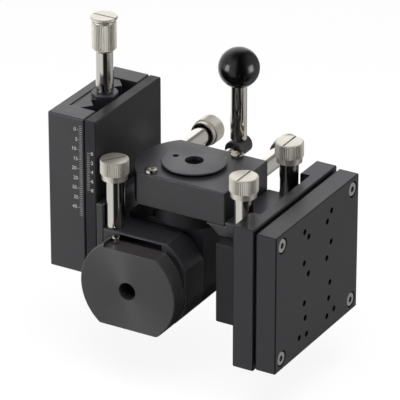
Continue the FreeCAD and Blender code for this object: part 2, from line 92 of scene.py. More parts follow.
# CAD nodes whose piece isn't a copy of the node but a head modelled here.
HEADS = ("pitch_head", "roll_head_a", "roll_head_b", "yaw_head_a", "yaw_head_b")


def linear(hex_colour: str) -> tuple[float, float, float, float]:
    """Turn an sRGB hex colour into linear light, by the standard's own numbers.

    Args:
        hex_colour: Six hex digits, red, green and blue.

    Returns:
        The colour in linear light, with an alpha of 1.
    """
    parts = [int(hex_colour[i:i + 2], 16) / 255 for i in (0, 2, 4)]
    light = [p / 12.92 if p <= 0.04045 else ((p + 0.055) / 1.055) ** 2.4 for p in parts]
    return (light[0], light[1], light[2], 1.0)


def add_node(tree: NodeTree, kind: str, values: dict | None = None,
             links: dict | None = None) -> Node:
    """Add one node with its settings and the links into it.

    Args:
        tree: The node tree that gets the node.
        kind: The node's type name.
        values: Socket values by name or number, and attributes of the node by name.
        links: Output sockets by the name or number of the input that they feed.

    Returns:
        The new node.
    """
    node = tree.nodes.new(kind)
    for key, value in (values or {}).items():
        if isinstance(key, str) and hasattr(node, key):
            setattr(node, key, value)
        else:
            node.inputs[key].default_value = value
    for key, source in (links or {}).items():
        tree.links.new(source, node.inputs[key])
    return node


def new_material(name: str) -> tuple[Material, NodeTree, Node]:
    """Make an empty node material.

    Args:
        name: The material's name.

    Returns:
        The material, its node tree and its output node.
    """
    material = bpy.data.materials.new(name)
    material.use_nodes = True
    tree = material.node_tree
    tree.nodes.clear()
    return material, tree, add_node(tree, "ShaderNodeOutputMaterial")


@dataclass(frozen=True)
class AnodisedAluminium:
    """Milled aluminium, bead blasted and anodised black.

    To the eye it is a satin dark grey, softly clouded, with a paler colour painted along its
    edges: wear, and a painted highlight where the broken edge catches the light.
    """

    name: str
    base: str
    shade: str
    # The paler edge colour is wear and a painted highlight along each edge.
    edge: str = "55565b"
    roughness: float = 0.36
    smoother: float = 0.05
    rougher: float = 0.07
    # The dye takes unevenly over a few centimetres.
    cloud_mm: float = 22.0
    # The blast's real grain is about 0.1 mm; it is drawn coarser, so that it shows.
    blast_mm: float = 0.35
    grain_depth: float = 0.06
    grain_high_mm: float = 0.02
    # The broken edge, and how far its normal leans where the paler edge colour, wear and painted
    # highlight, starts and where it is full.
    edge_mm: float = 0.3
    worn_from: float = 0.99
    worn_full: float = 0.86
    ior: float = 1.55
    # How much the rings of a faced disc stretch its highlight, and the disc's centre in mm.
    lay: float = 0.0
    centre: tuple[float, float, float] = (0.0, 0.0, 0.0)

    def worn_edge(self, tree: NodeTree, soft: NodeSocket) -> NodeSocket:
        """Find the edges, where the oxide has rubbed thin and a highlight is painted.

        Args:
            tree: The material's nodes.
            soft: The normal with its edges rounded off.

        Returns:
            A factor, 1 on an edge and 0 on a flat.
        """
        sharp = add_node(tree, "ShaderNodeNewGeometry").outputs["Normal"]
        match = add_node(tree, "ShaderNodeVectorMath", {"operation": "DOT_PRODUCT"},
                         {0: sharp, 1: soft})
        return add_node(tree, "ShaderNodeMapRange",
                        {"From Min": self.worn_from, "From Max": self.worn_full,
                         "To Min": 0.0, "To Max": 1.0},
                        {"Value": match.outputs["Value"]}).outputs["Result"]

    def radial(self, tree: NodeTree, where: NodeSocket) -> NodeSocket:
        """Point away from the centre of a faced disc, across the rings that the tool left.

        Args:
            tree: The material's nodes.
            where: The place on the piece.

        Returns:
            The direction along which a highlight spreads.
        """
        middle = tuple(value * MM for value in self.centre)
        away = add_node(tree, "ShaderNodeVectorMath", {"operation": "SUBTRACT", 1: middle},
                        {0: where})
        return add_node(tree, "ShaderNodeVectorTransform",
                        {"vector_type": "VECTOR", "convert_from": "OBJECT",
                         "convert_to": "WORLD"},
                        {"Vector": away.outputs["Vector"]}).outputs["Vector"]

    def build(self) -> Material:
        """Return the finish as a material."""
        material, tree, out = new_material(self.name)
        where = add_node(tree, "ShaderNodeTexCoord").outputs["Object"]
        cloud = add_node(tree, "ShaderNodeTexNoise",
                         {"Scale": 1 / (self.cloud_mm * MM), "Detail": 3.0, "Roughness": 0.6},
                         {"Vector": where})
        grain = add_node(tree, "ShaderNodeTexNoise",
                         {"Scale": 1 / (self.blast_mm * MM), "Detail": 2.0}, {"Vector": where})
        soft = add_node(tree, "ShaderNodeBevel",
                        {"samples": 4, "Radius": self.edge_mm * MM}).outputs["Normal"]
        tone = add_node(tree, "ShaderNodeMix",
                        {"data_type": "RGBA", COLOUR_A: linear(self.base),
                         COLOUR_B: linear(self.shade)},
                        {"Factor": cloud.outputs["Fac"]})
        # Mix in the paler edge colour: wear, and a painted highlight along each edge.
        wear_and_highlight = add_node(tree, "ShaderNodeMix", {"data_type": "RGBA", COLOUR_B: linear(self.edge)},
                        {"Factor": self.worn_edge(tree, soft), COLOUR_A: tone.outputs[COLOUR_OUT]})
        rough = add_node(tree, "ShaderNodeMapRange",
                         {"From Min": 0.3, "From Max": 0.7,
                          "To Min": self.roughness - self.smoother,
                          "To Max": self.roughness + self.rougher},
                         {"Value": cloud.outputs["Fac"]})
        bump = add_node(tree, "ShaderNodeBump",
                        {"Strength": self.grain_depth, "Distance": self.grain_high_mm * MM},
                        {"Height": grain.outputs["Fac"], "Normal": soft})
        links = {"Base Color": wear_and_highlight.outputs[COLOUR_OUT], "Roughness": rough.outputs["Result"],
                 "Normal": bump.outputs["Normal"]}
        if self.lay:
            links["Tangent"] = self.radial(tree, where)
        shader = add_node(tree, "ShaderNodeBsdfPrincipled",
                          {"IOR": self.ior, "Anisotropic": self.lay}, links)
        tree.links.new(shader.outputs[0], out.inputs["Surface"])
        return material


@dataclass(frozen=True)
class TurnedMetal:
    """Turned metal, bare or plated: a bright metal with faint rings left by the tool."""

    name: str
    base: str
    roughness: float
    axis: str = "Z"
    # Real tool rings are about 0.1 mm apart; they are drawn wider, so that they show.
    ring_mm: float = 0.6
    ring_depth: float = 0.03
    ring_high_mm: float = 0.02
    # Handling leaves patches of this width, between these shares of the roughness.
    smear_mm: float = 3.0
    smoother: float = 0.8
    rougher: float = 1.3
    metallic: float = 1.0

    def build(self) -> Material:
        """Return the finish as a material."""
        material, tree, out = new_material(self.name)
        where = add_node(tree, "ShaderNodeTexCoord").outputs["Object"]
        rings = add_node(tree, "ShaderNodeTexWave",
                         {"wave_type": "BANDS", "bands_direction": self.axis,
                          "Scale": WAVE_LENGTH / (self.ring_mm * MM), "Distortion": 0.6,
                          "Detail": 2.0}, {"Vector": where})
        smear = add_node(tree, "ShaderNodeTexNoise",
                         {"Scale": 1 / (self.smear_mm * MM), "Detail": 3.0}, {"Vector": where})
        rough = add_node(tree, "ShaderNodeMapRange",
                         {"To Min": self.roughness * self.smoother,
                          "To Max": self.roughness * self.rougher},
                         {"Value": smear.outputs["Fac"]})
        bump = add_node(tree, "ShaderNodeBump",
                        {"Strength": self.ring_depth, "Distance": self.ring_high_mm * MM},
                        {"Height": rings.outputs["Fac"]})
        shader = add_node(tree, "ShaderNodeBsdfPrincipled",
                          {"Base Color": linear(self.base), "Metallic": self.metallic},
                          {"Roughness": rough.outputs["Result"], "Normal": bump.outputs["Normal"]})
        tree.links.new(shader.outputs[0], out.inputs["Surface"])
        return material


@dataclass(frozen=True)
class PhenolicBall:
    """Moulded black phenolic resin, tumbled to a satin gloss: deep black with soft highlights."""

    name: str = "phenolic_ball"
    base: str = "040405"
    ior: float = 1.5
    roughness: float = 0.2
    smoother: float = 0.05
    rougher: float = 0.08
    ripple_mm: float = 6.0

    def build(self) -> Material:
        """Return the finish as a material."""
        material, tree, out = new_material(self.name)
        where = add_node(tree, "ShaderNodeTexCoord").outputs["Object"]
        ripple = add_node(tree, "ShaderNodeTexNoise",
                          {"Scale": 1 / (self.ripple_mm * MM), "Detail": 2.0}, {"Vector": where})
        rough = add_node(tree, "ShaderNodeMapRange",
                         {"To Min": self.roughness - self.smoother,
                          "To Max": self.roughness + self.rougher},
                         {"Value": ripple.outputs["Fac"]})
        shader = add_node(tree, "ShaderNodeBsdfPrincipled",
                          {"Base Color": linear(self.base), "IOR": self.ior},
                          {"Roughness": rough.outputs["Result"]})
        tree.links.new(shader.outputs[0], out.inputs["Surface"])
        return material


@dataclass(frozen=True)
class FilledPaint:
    """White enamel rubbed into engraved lines: flat, a little uneven where the fill is thin."""

    name: str = "scale_enamel"
    base: str = "c9c8c6"
    thin: str = "8f8e8d"
    roughness: float = 0.6
    patch_mm: float = 1.5

    def build(self) -> Material:
        """Return the finish as a material."""
        material, tree, out = new_material(self.name)
        where = add_node(tree, "ShaderNodeTexCoord").outputs["Object"]
        patch = add_node(tree, "ShaderNodeTexNoise",
                         {"Scale": 1 / (self.patch_mm * MM), "Detail": 2.0}, {"Vector": where})
        tone = add_node(tree, "ShaderNodeMix",
                        {"data_type": "RGBA", COLOUR_A: linear(self.base),
                         COLOUR_B: linear(self.thin)},
                        {"Factor": patch.outputs["Fac"]})
        shader = add_node(tree, "ShaderNodeBsdfPrincipled", {"Roughness": self.roughness},
                          {"Base Color": tone.outputs[COLOUR_OUT]})
        tree.links.new(shader.outputs[0], out.inputs["Surface"])
        return material


class Finish(Enum):
    """The finishes of the object's pieces."""

    # Housings and blocks: a satin near-black, with a pale thread along each edge, wear and a
    # painted highlight.
    BLACK = AnodisedAluminium("black_anodised_aluminium", "222225", "1c1c1f")
    # Pieces that the others shade: the same oxide with painted shade, in darker colours, a darker
    # edge and less shine, so it looks blacker.
    RECESS = AnodisedAluminium("black_anodised_painted_shade", "1c1c1f", "18181a", edge="3c3c40",
                               roughness=0.42, ior=1.32)
    # Camera plate and back plate: a heavier blast, which gives an even, greyer black.
    PLATE = AnodisedAluminium("black_anodised_plate", "28282c", "222226", roughness=0.4)
    # Discs faced on the lathe before anodising: the highlight fans out across the tool's rings.
    FACED_FLANGE = AnodisedAluminium("faced_black_flange", "2d2b2b", "272626", lay=0.7,
                                     centre=(49.0, -41.0, -37.0))
    FACED_CAP = AnodisedAluminium("faced_black_cap", "2d2d30", "27272a", lay=0.4,
                                  centre=(61.5, 0.0, 17.0))
    # Bright nickel plate on turned pins, spindles and bushings: a slightly warm mirror.
    NICKEL_UPRIGHT = TurnedMetal("bright_nickel_upright", "dad7d0", 0.1)
    NICKEL_LEVEL = TurnedMetal("bright_nickel_level", "dad7d0", 0.1, axis="Y")
    # Nickel plate over a straight knurl: silver ridges between dark grooves. It is a little
    # less than all metal, so that the ridges catch the light from above as the real ones do.
    KNURL_UPRIGHT = TurnedMetal("knurled_nickel_upright", "cfcbc1", 0.33, ring_mm=0.8,
                                metallic=0.86)
    KNURL_LEVEL = TurnedMetal("knurled_nickel_level", "cfcbc1", 0.33, axis="Y", ring_mm=0.8,
                              metallic=0.86)
    # Hardened steel rails and shafts, ground: a cool, even grey.
    STEEL = TurnedMetal("ground_steel", "b9b9bb", 0.3, axis="X")
    # Stainless socket screws: pale grey heads with a soft shine round the socket.
    SCREW = TurnedMetal("stainless_screw", "b4b3b0", 0.28, axis="X", ring_mm=0.4)
    # The feed nut, turned brass that nobody polishes: a soft yellow.
    BRASS = TurnedMetal("turned_brass", "c9a45a", 0.3)
    # The clamp lever's knob: deep black with two soft, wide highlights.
    BALL = PhenolicBall()
    # Lines and numbers of the scales: an off-white that is greyer where the fill is thin.
    ENAMEL = FilledPaint()

    @property
    def material(self) -> Material:
        """The finish's material, made once."""
        return bpy.data.materials.get(self.value.name) or self.value.build()


def everywhere(place: Vector) -> bool:
    """Say yes of every place."""
    return True


def deselect_all() -> None:
    """Leave edit mode and clear the selection."""
    if bpy.context.object and bpy.context.object.mode != "OBJECT":
        bpy.ops.object.mode_set(mode="OBJECT")
    bpy.ops.object.select_all(action="DESELECT")


def only(thing: Object) -> None:
    """Select one object and make it active.

    Args:
        thing: The object.
    """
    deselect_all()
    thing.select_set(True)
    bpy.context.view_layer.objects.active = thing


def pick(thing: Object, test: Callable[[Vector], bool]) -> None:
    """Select the vertices that lie where a test says, and stay in edit mode.

    Args:
        thing: The piece.
        test: Says of a place whether a vertex there is selected.
    """
    only(thing)
    bpy.ops.object.mode_set(mode="EDIT")
    bpy.ops.mesh.select_mode(type="VERT")
    bpy.ops.mesh.select_all(action="DESELECT")
    bpy.ops.object.mode_set(mode="OBJECT")
    for vertex in thing.data.vertices:
        vertex.select = test(vertex.co)
    bpy.ops.object.mode_set(mode="EDIT")


def shift(thing: Object, test: Callable[[Vector], bool], way: tuple[float, float, float]) -> None:
    """Move a part of a piece.

    Args:
        thing: The piece.
        test: Says of a place whether a vertex there moves.
        way: How far the part moves.
    """
    pick(thing, test)
    bpy.ops.transform.translate(value=way)
    bpy.ops.object.mode_set(mode="OBJECT")


def swell(thing: Object, test: Callable[[Vector], bool],
          share: tuple[float, float, float], middle: Vector) -> None:
    """Make a part of a piece wider or narrower.

    Args:
        thing: The piece.
        test: Says of a place whether a vertex there takes part.
        share: The new size as a share of the old one, along X, Y and Z.
        middle: The place that keeps still.
    """
    pick(thing, test)
    bpy.ops.transform.resize(value=share, center_override=middle)
    bpy.ops.object.mode_set(mode="OBJECT")


def score(thing: Object, height: float) -> None:
    """Run a ring of edges round a piece at a height, and stay in edit mode."""
    pick(thing, everywhere)
    bpy.ops.mesh.bisect(plane_co=(0, 0, height), plane_no=(0, 0, 1))


def settled() -> Object:
    """Put the active object's place, turn and size into its mesh, and return it."""
    bpy.ops.object.transform_apply(location=True, rotation=True, scale=True)
    return bpy.context.object


def put_copy(source: Object, name: str, place: Matrix) -> Object:
    """Copy a piece with its own mesh, the place in the mesh.

    Args:
        source: The piece that is copied.
        name: The copy's name.
        place: Where the copy goes.

    Returns:
        The copy.
    """
    piece = bpy.data.objects.new(name, source.data.copy())
    bpy.context.scene.collection.objects.link(piece)
    piece.data.transform(place)
    return piece


def join(things: list[Object], name: str) -> Object:
    """Join meshes into one piece.

    Args:
        things: The meshes; the first one keeps its material.
        name: The piece's name.

    Returns:
        The joined piece, at the origin.
    """
    only(things[0])
    for thing in things:
        thing.select_set(True)
    bpy.ops.object.join()
    bpy.context.object.name = name
    return settled()


def dress(thing: Object, finish: Finish) -> None:
    """Give a piece one finish all over."""
    thing.data.materials.clear()
    thing.data.materials.append(finish.material)


def smooth_copy(node: str, finish: Finish) -> None:
    """Stand a merged, smooth-shaded copy in place of a CAD node, on the node's body.

    Args:
        node: The CAD node's name.
        finish: The finish of the copy.
    """
    piece = put_copy(frame["nodes"][node], node + "_finished", Matrix.Identity(4))
    only(piece)
    bpy.ops.object.mode_set(mode="EDIT")
    bpy.ops.mesh.select_all(action="SELECT")
    bpy.ops.mesh.customdata_custom_splitnormals_clear()
    bpy.ops.mesh.remove_doubles(threshold=MERGE_DISTANCE)
    bpy.ops.object.mode_set(mode="OBJECT")
    bpy.ops.object.shade_smooth_by_angle(angle=math.radians(SMOOTH_ANGLE))
    dress(piece, finish)
    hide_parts(node)
    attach(piece, body_of(node))


def cut(piece: Object, tool: Object, operation: str) -> None:
    """Cut a piece with a tool solid and take the tool away.

    Args:
        piece: The piece that is cut.
        tool: The solid that cuts it.
        operation: DIFFERENCE takes the tool's shape out, INTERSECT keeps only what lies in it.
    """
    only(piece)
    step = piece.modifiers.new("cut", "BOOLEAN")
    step.object = tool
    step.operation = operation
    step.solver = "EXACT"
    bpy.ops.object.modifier_apply(modifier=step.name)
    bpy.data.objects.remove(tool)
    bpy.ops.object.shade_smooth_by_angle(angle=math.radians(SMOOTH_ANGLE))


def body_of(node: str) -> str:
    """Return the body that a CAD node belongs to."""
    bodies = frame["record"]["behaviour"]["bodies"]
    return next(body for body, nodes in bodies.items() if node in nodes)


def is_level(node: str) -> bool:
    """Say whether an adjuster's head lies level, as those of the yaw module do."""
    return node.startswith("yaw")


def knurl_of(node: str) -> Finish:
    """Return the knurled finish whose rings run round a head's own axis."""
    return Finish.KNURL_LEVEL if is_level(node) else Finish.KNURL_UPRIGHT


def seat_of(node: str) -> Matrix:
    """Find the seat of a head or knob that is modelled standing on the origin.

    Args:
        node: The CAD node's name.

    Returns:
        The place and turn that put it there.
    """
    low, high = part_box(node)
    middle = (low + high) / 2
    if is_level(node):
        return (Matrix.Translation((middle.x, low.y, middle.z))
                @ Matrix.Rotation(-math.pi / 2, 4, "X"))
    return Matrix.Translation((middle.x, middle.y, low.z))


@dataclass
class Castings:
    """Every CAD piece, dressed in its finish; those not named here are black."""

    finishes: tuple[tuple[Finish, tuple[str, ...]], ...] = (
        (Finish.NICKEL_UPRIGHT, ("feed_screw", "pitch_bushing", "roll_bushings", "pitch_spindle",
                                 "roll_spindle_a", "roll_spindle_b", "pitch_tip", "roll_tip_a",
                                 "roll_tip_b", "pitch_pin", "clamp_screws", "lever_rod")),
        (Finish.NICKEL_LEVEL, ("yaw_bushings", "yaw_spindle_a", "yaw_spindle_b", "yaw_tip_a",
                               "yaw_tip_b", "clamp_stud")),
        (Finish.KNURL_UPRIGHT, ("feed_knob",)),
        (Finish.STEEL, ("body_rails", "slider_rails", "pitch_shaft", "yaw_shaft", "roll_shaft")),
        (Finish.PLATE, ("camera_plate", "back_plate")),
        # Pieces that stand in the others' shade take the painted-shade black.
        (Finish.RECESS, ("slider_plate", "roll_block", "pitch_carrier", "yaw_base",
                         "roll_flange")),
        (Finish.SCREW, ("plate_screws",)),
        (Finish.FACED_FLANGE, ("pitch_flange",)),
        (Finish.FACED_CAP, ("yaw_cap",)),
        (Finish.BRASS, ("feed_nut",)),
        (Finish.BALL, ("lever_ball",)))

    def finish_of(self, node: str) -> Finish:
        """Return the finish of a CAD node."""
        return next((finish for finish, nodes in self.finishes if node in nodes), Finish.BLACK)

    def build(self) -> None:
        """Stand a smooth, dressed copy in place of each CAD node."""
        for node in sorted(frame["nodes"]):
            if node not in HEADS:
                smooth_copy(node, self.finish_of(node))
                LOG.info("dressed %s", node)


@dataclass
class Refits:
    """Forms that the picture shows finer than the CAD pieces do, worked into their copies."""

    # Slider plate: X of its back face, the band round it that moves, and how far.
    slider_back: float = 21.0 * MM
    slider_before: float = 0.1 * MM
    slider_behind: float = 0.6 * MM
    slider_grow: float = 1.0 * MM
    # Clamp lever: what is left of the hub's and the stud's radius, and the rod's lower end.
    hub_share: float = 0.67
    stud_share: float = 0.625
    rod_foot: float = 0.5 * MM
    rod_grow: float = 2.4 * MM
    base_share: float = 0.73
    # Cap: Z of its disc's lower face, the step to the neck, and what the neck takes.
    cap_disc_low: float = 16.3 * MM
    cap_step: float = 0.02 * MM
    cap_radius: float = 15.5 * MM
    cap_rim_share: float = 0.9
    cap_neck_share: float = 0.79
    # Feed knob: height of its body, how near a vertex counts as there, and the body's rise.
    knob_body: float = 14.0 * MM
    knob_near: float = 1.0 * MM
    knob_rim_rise: float = 1.7 * MM
    arm_end: float = 93.0 * MM
    arm_grow: float = 10.6 * MM
    # Pitch pieces: X and Z of the flange's axis, its outline, and the tool that trims to it.
    pitch_axis: tuple[float, float] = (49.0 * MM, -37.0 * MM)
    pitch_round: float = 25.5 * MM
    pitch_flat: float = 20.0 * MM
    pitch_corner: float = 7.5 * MM
    pitch_left: float = 30.0 * MM
    tool_over: float = 1.2
    tool_near: float = 1.0 * MM
    round_share: float = 0.8
    round_steps: int = 24

    def piece(self, node: str) -> Object:
        """Return the dressed copy of a CAD node."""
        return bpy.data.objects[node + "_finished"]

    def slim(self, node: str, share: float, level: bool) -> None:
        """Make a round piece slimmer about its own axis.

        Args:
            node: The CAD node's name.
            share: The new radius as a share of the old one.
            level: True where the axis lies along Y, False where it stands along Z.
        """
        low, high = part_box(node)
        shares = (share, 1, share) if level else (share, share, 1)
        swell(self.piece(node), everywhere, shares, (low + high) / 2)

    def slider(self) -> None:
        """Bring the slider's back face up to the body, so that only a fine dark gap stays."""
        near, far = self.slider_back - self.slider_before, self.slider_back + self.slider_behind
        shift(self.piece("slider_plate"), lambda place: near < place.x < far,
              (-self.slider_grow, 0, 0))

    def clamp_lever(self) -> None:
        """Slim the lever's hub and stud, and let the rod reach down to the hub."""
        self.slim("lever_hub", self.hub_share, True)
        self.slim("clamp_stud", self.stud_share, True)
        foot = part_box("lever_rod")[0].z + self.rod_foot
        shift(self.piece("lever_rod"), lambda place: place.z < foot, (0, 0, -self.rod_grow))

    def cap(self) -> None:
        """Turn the cap's lower part down to a neck, which leaves a dark line under its disc."""
        piece = self.piece("yaw_cap")
        low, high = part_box("yaw_cap")
        middle = (low + high) / 2
        for height in (self.cap_disc_low, self.cap_disc_low - self.cap_step):
            score(piece, height)
        split = self.cap_disc_low - self.cap_step / 2
        rim = self.cap_radius * self.cap_rim_share
        swell(piece, lambda place: place.z < split
              and math.hypot(place.x - middle.x, place.y - middle.y) > rim,
              (self.cap_neck_share, self.cap_neck_share, 1), middle)

    def knob(self) -> None:
        """Thin the feed knob's rim; its body reaches up to it."""
        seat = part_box("feed_knob")[0].z + self.knob_body
        shift(self.piece("feed_knob"), lambda place: abs(place.z - seat) < self.knob_near,
              (0, 0, self.knob_rim_rise))

    def web(self) -> None:
        """Let the arm's web run on over the roll block, round the two bushings."""
        shift(self.piece("arm"), lambda place: place.x > self.arm_end, (self.arm_grow, 0, 0))

    def pitch_end(self, node: str, corner: float) -> None:
        """Trim a pitch piece's right end to the flange's outline.

        Args:
            node: The CAD node's name.
            corner: Width of the slant at its upper corner, 0 for none.
        """
        x, z = self.pitch_axis
        low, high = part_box(node)
        left, right, base = x - self.pitch_left, x + self.pitch_round, z - self.pitch_flat
        end = right - self.tool_near
        deselect_all()
        bpy.ops.mesh.primitive_cube_add(
            size=1.0,
            location=((left + right) / 2, (low.y + high.y) / 2, (base + high.z) / 2),
            scale=(right - left, (high.y - low.y) * self.tool_over, high.z - base))
        tool = settled()
        if corner:
            pick(tool, lambda place: place.x > end and place.z > z)
            bpy.ops.mesh.bevel(offset=corner, segments=1)
        pick(tool, lambda place: place.x > end and place.z < base + self.tool_near)
        bpy.ops.mesh.bevel(offset=self.pitch_flat * self.round_share, segments=self.round_steps,
                           profile=0.5)
        bpy.ops.object.mode_set(mode="OBJECT")
        cut(self.piece(node), tool, "INTERSECT")

    def build(self) -> None:
        """Work all forms."""
        self.slider()
        self.clamp_lever()
        self.slim("yaw_base", self.base_share, False)
        self.cap()
        self.knob()
        self.web()
        self.pitch_end("pitch_block", self.pitch_corner)
        self.pitch_end("pitch_carrier", 0.0)
        LOG.info("worked the finer forms")


@dataclass
class AdjusterHead:
    """Head of a fine adjuster with a closed, slotted crown and a hollow skirt.

    It is modelled once and copied.
    """

    segments: int = 96
    radius: float = 6.6 * MM
    length: float = 10.0 * MM
    crown_edge: float = 0.55 * MM
    crown_steps: int = 3
    ring_high: float = 2.5 * MM
    ring_step: float = 0.2 * MM
    ring_radius: float = 6.2 * MM
    bore_radius: float = 5.5 * MM
    bore_deep: float = 4.0 * MM
    slot_w: float = 1.0 * MM
    slot_deep: float = 1.1 * MM
    slot_over: float = 1.5
    pitch_slot_turn: float = -33.5

    def head(self) -> Object:
        """Model the head standing along Z on the origin.

        Returns:
            The head, closed, its slot along Y.
        """
        deselect_all()
        bpy.ops.mesh.primitive_cylinder_add(vertices=self.segments, radius=self.radius,
                                            depth=self.length, location=(0, 0, self.length / 2))
        head = settled()
        pick(head, lambda place: place.z > self.length - self.slot_deep)
        bpy.ops.mesh.bevel(offset=self.crown_edge, segments=self.crown_steps)
        for height in (self.ring_high, self.ring_high - self.ring_step):
            score(head, height)
        ring = self.ring_radius / self.radius
        swell(head, lambda place: place.z < self.ring_high - self.ring_step / 2, (ring, ring, 1),
              Vector())
        pick(head, lambda place: place.z < self.ring_step / 2)
        bpy.ops.mesh.extrude_region_move()
        bore = self.bore_radius / self.ring_radius
        bpy.ops.transform.resize(value=(bore, bore, 1), center_override=(0, 0, 0))
        bpy.ops.mesh.extrude_region_move()
        bpy.ops.transform.translate(value=(0, 0, self.bore_deep))
        bpy.ops.object.mode_set(mode="OBJECT")
        # The cutter stands half above the crown, and past the head at both ends.
        bpy.ops.mesh.primitive_cube_add(size=1.0, location=(0, 0, self.length),
                                        scale=(self.slot_w, 2 * self.radius * self.slot_over,
                                               2 * self.slot_deep))
        cut(head, settled(), "DIFFERENCE")
        return head

    def build(self) -> None:
        """Put a head on every adjuster."""
        head = self.head()
        for node in HEADS:
            seat = seat_of(node)
            if node == "pitch_head":
                seat @= Matrix.Rotation(math.radians(self.pitch_slot_turn), 4, "Z")
            piece = put_copy(head, node + "_finished", seat)
            dress(piece, knurl_of(node))
            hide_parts(node)
            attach(piece, body_of(node))
            LOG.info("built %s", piece.name)
        bpy.data.objects.remove(head)


@dataclass
class TravelScale:
    """Engraved millimetre scale on the stage's near side, and the slider's vernier beside it."""

    line_w: float = 0.16 * MM
    line_edge: float = 0.01 * MM
    proud: float = 0.03 * MM
    tip: float = 0.6
    # Lengths of the lines, one length for each rank, and how often a line has a number.
    short: float = 1.5 * MM
    middle: float = 2.0 * MM
    long: float = 2.8 * MM
    numbered: int = 5
    # Numbers: height of a digit, the font's size over it, and the curve steps of an outline.
    digit: float = 1.9 * MM
    digit_gap: float = 0.3 * MM
    font_ratio: float = 1.35
    font_steps: int = 3
    # Main scale: X of the lines' right ends, Z of the first line and of the zero, and the count.
    edge_x: float = 18.5 * MM
    first_z: float = 36.2 * MM
    zero_z: float = 34.2 * MM
    step: float = 1.0 * MM
    count: int = 47
    last_number: int = 40
    # Vernier: X of the lines' left ends and of the numbers' right ends, and Z of its top line.
    vernier_x: float = 21.2 * MM
    vernier_digit_x: float = 24.6 * MM
    vernier_top: float = 23.5 * MM
    vernier_step: float = 0.95 * MM
    vernier_count: int = 21
    vernier_worth: int = 2

    def tick(self, name: str, length: float) -> Object:
        """Model one painted line from x = 0 to x = -length, narrowed where the cutter left it.

        Args:
            name: The line's name.
            length: Its length.

        Returns:
            The line, on the face y = 0.
        """
        deselect_all()
        bpy.ops.mesh.primitive_cube_add(size=1.0, location=(-length / 2, 0, 0),
                                        scale=(length, self.proud * 2, self.line_w))
        line = settled()
        line.name = name
        pick(line, lambda place: place.x < -length / 2)
        bpy.ops.transform.resize(value=(1, 1, self.tip), center_override=(-length, 0, 0))
        bpy.ops.mesh.select_all(action="SELECT")
        bpy.ops.mesh.bevel(offset=self.line_edge, segments=1)
        bpy.ops.object.mode_set(mode="OBJECT")
        return line

    def number(self, text: str, x: float, z: float, face: float) -> Object:
        """Add one painted number, its right end at x.

        Args:
            text: The digits.
            x: Right end.
            z: Middle height.
            face: Y of the face that carries it.

        Returns:
            The number as a mesh.
        """
        deselect_all()
        bpy.ops.object.text_add(location=(x, face - self.proud / 2, z),
                                rotation=(math.pi / 2, 0, 0))
        words = bpy.context.object.data
        words.body = text
        words.size = self.digit * self.font_ratio
        words.align_x = "RIGHT"
        words.align_y = "CENTER"
        words.extrude = self.proud / 2
        words.resolution_u = self.font_steps
        bpy.ops.object.convert(target="MESH")
        return settled()

    def main_scale(self, ticks: dict[float, Object]) -> None:
        """Lay out the body's scale, a number at every fifth line.

        Args:
            ticks: The modelled lines by their length.
        """
        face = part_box("stage_body")[0].y
        parts = []
        for index in range(self.count):
            z = self.first_z - index * self.step
            value = round((self.zero_z - z) / self.step)
            named = value % self.numbered == 0
            length = self.short
            if named:
                length = self.long if value % (2 * self.numbered) == 0 else self.middle
            place = Matrix.Translation((self.edge_x, face, z))
            parts.append(put_copy(ticks[length], "line", place))
            if named and 0 <= value <= self.last_number:
                right = self.edge_x - length - self.digit_gap
                parts.append(self.number(str(value), right, z, face))
        self.finish_scale(parts, "travel_scale", "z_body")

    def vernier(self, ticks: dict[float, Object]) -> None:
        """Lay out the slider's vernier, a number at every fifth line.

        Args:
            ticks: The modelled lines by their length.
        """
        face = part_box("slider_plate")[0].y
        parts = []
        for index in range(self.vernier_count):
            z = self.vernier_top - index * self.vernier_step
            named = index % self.numbered == 0
            length = self.middle if named else self.short
            turned = (Matrix.Translation((self.vernier_x, face, z))
                      @ Matrix.Rotation(math.pi, 4, "Y"))
            parts.append(put_copy(ticks[length], "line", turned))
            if named:
                text = str(index // self.numbered * self.vernier_worth)
                parts.append(self.number(text, self.vernier_digit_x, z, face))
        self.finish_scale(parts, "travel_vernier", "z_slider")

    def finish_scale(self, parts: list[Object], name: str, body: str) -> None:
        """Make the lines and numbers one painted piece.

        Args:
            parts: The lines and numbers.
            name: The piece's name.
            body: The body that it rides on.
        """
        piece = join(parts, name)
        dress(piece, Finish.ENAMEL)
        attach(piece, body)
        LOG.info("built %s", name)

    def build(self) -> None:
        """Build the main scale and the vernier."""
        ticks = {length: self.tick("line", length)
                 for length in (self.short, self.middle, self.long)}
        self.main_scale(ticks)
        self.vernier(ticks)
        for tick in ticks.values():
            bpy.data.objects.remove(tick)


